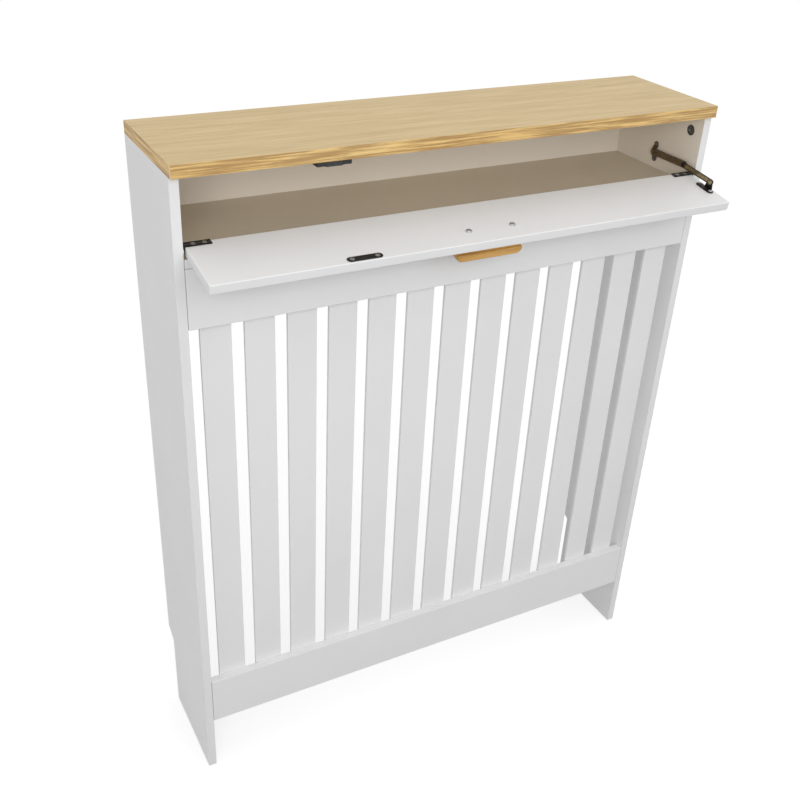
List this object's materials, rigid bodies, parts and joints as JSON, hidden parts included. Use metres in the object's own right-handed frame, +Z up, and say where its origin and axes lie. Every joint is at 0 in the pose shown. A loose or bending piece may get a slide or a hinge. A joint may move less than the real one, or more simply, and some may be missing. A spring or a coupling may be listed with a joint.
{
  "type": "radiator cover cabinet",
  "caption": "Tall shallow cabinet that stands over a wall radiator, with a slatted front, a wooden top and a drop-down flap over a storage compartment.",
  "frame": {"origin": "on the floor, in the middle of the whole object as it stands with its flap open", "axes": "+Z up, the front faces -Y, +X to the right seen from the front"},
  "size_m": [0.78, 0.2578, 0.95],
  "materials": {
    "white_board": "satin white paint film on fibreboard",
    "oak_top": "light oak-effect foil with fine grain, satin",
    "oak_handle": "oiled oak, satin",
    "back_hardboard": "white faced hardboard",
    "black_steel": "black lacquered sheet steel",
    "bright_steel": "bright zinc plated",
    "antique_bronze": "antique bronze plated steel",
    "zinc": "dark cast zinc",
    "black_plastic": "moulded",
    "white_plastic": "moulded",
    "magnet": "sintered ferrite"
  },
  "bodies": {
    "cabinet": {"back_panel": "back_hardboard", "bottom_rail": "white_board", "cam_bolt_left_back": "bright_steel", "cam_bolt_left_front": "bright_steel", "cam_bolt_right_back": "bright_steel", "cam_bolt_right_front": "bright_steel", "cam_lock_left_back": "zinc", "cam_lock_left_front": "zinc", "cam_lock_right_back": "zinc", "cam_lock_right_front": "zinc", "catch_case": "black_plastic", "catch_magnet": "magnet", "catch_screw_left": "bright_steel", "catch_screw_right": "bright_steel", "compartment_shelf": "white_board", "hinge_bush_left": "white_plastic", "hinge_bush_right": "white_plastic", "side_panel_left": "white_board", "side_panel_right": "white_board", "slat_01": "white_board", "slat_02": "white_board", "slat_03": "white_board", "slat_04": "white_board", "slat_05": "white_board", "slat_06": "white_board", "slat_07": "white_board", "slat_08": "white_board", "slat_09": "white_board", "slat_10": "white_board", "slat_11": "white_board", "slat_12": "white_board", "slat_13": "white_board", "stay_rear_rivet": "antique_bronze", "stay_wall_bracket": "antique_bronze", "stay_wall_screw_lower": "antique_bronze", "stay_wall_screw_upper": "antique_bronze", "top_board": "oak_top", "top_rail": "white_board"},
    "flap": {"flap_board": "white_board", "flap_handle": "oak_handle", "handle_screw_left": "bright_steel", "handle_screw_right": "bright_steel", "hinge_pin_left": "bright_steel", "hinge_pin_right": "bright_steel", "hinge_screw_left_1": "bright_steel", "hinge_screw_left_2": "bright_steel", "hinge_screw_right_1": "bright_steel", "hinge_screw_right_2": "bright_steel", "hinge_strip_left": "black_steel", "hinge_strip_right": "black_steel", "stay_flap_bracket": "antique_bronze", "stay_flap_screw_inner": "antique_bronze", "stay_flap_screw_outer": "antique_bronze", "stay_front_rivet": "antique_bronze", "strike_plate": "black_steel", "strike_screw_left": "bright_steel", "strike_screw_right": "bright_steel"},
    "stay_rear_arm": {"stay_rear_arm": "antique_bronze"},
    "stay_front_arm": {"stay_front_arm": "antique_bronze", "stay_knee_rivet": "antique_bronze"}
  },
  "joints": [
    {"name": "flap_hinge", "type": "hinge", "parent": "cabinet", "child": "flap", "pos_m": [0, -0.04314, 0.845], "axis": [-1, 0, 0], "range_deg": [0, 99.5]},
    {"name": "stay_rear_pivot", "type": "hinge", "parent": "cabinet", "child": "stay_rear_arm", "pos_m": [0.373, 0.03886, 0.86], "axis": [-1, 0, 0], "range_deg": [0, 74]},
    {"name": "stay_front_pivot", "type": "hinge", "parent": "flap", "child": "stay_front_arm", "pos_m": [0.3716, -0.08977, 0.85342], "axis": [1, 0, 0], "range_deg": [0, 130.7]}
  ],
  "couplings": [
    {"joint": "stay_rear_pivot", "follows": "flap_hinge", "ratio": 0.74297},
    {"joint": "stay_front_pivot", "follows": "flap_hinge", "ratio": 1.3131}
  ]
}
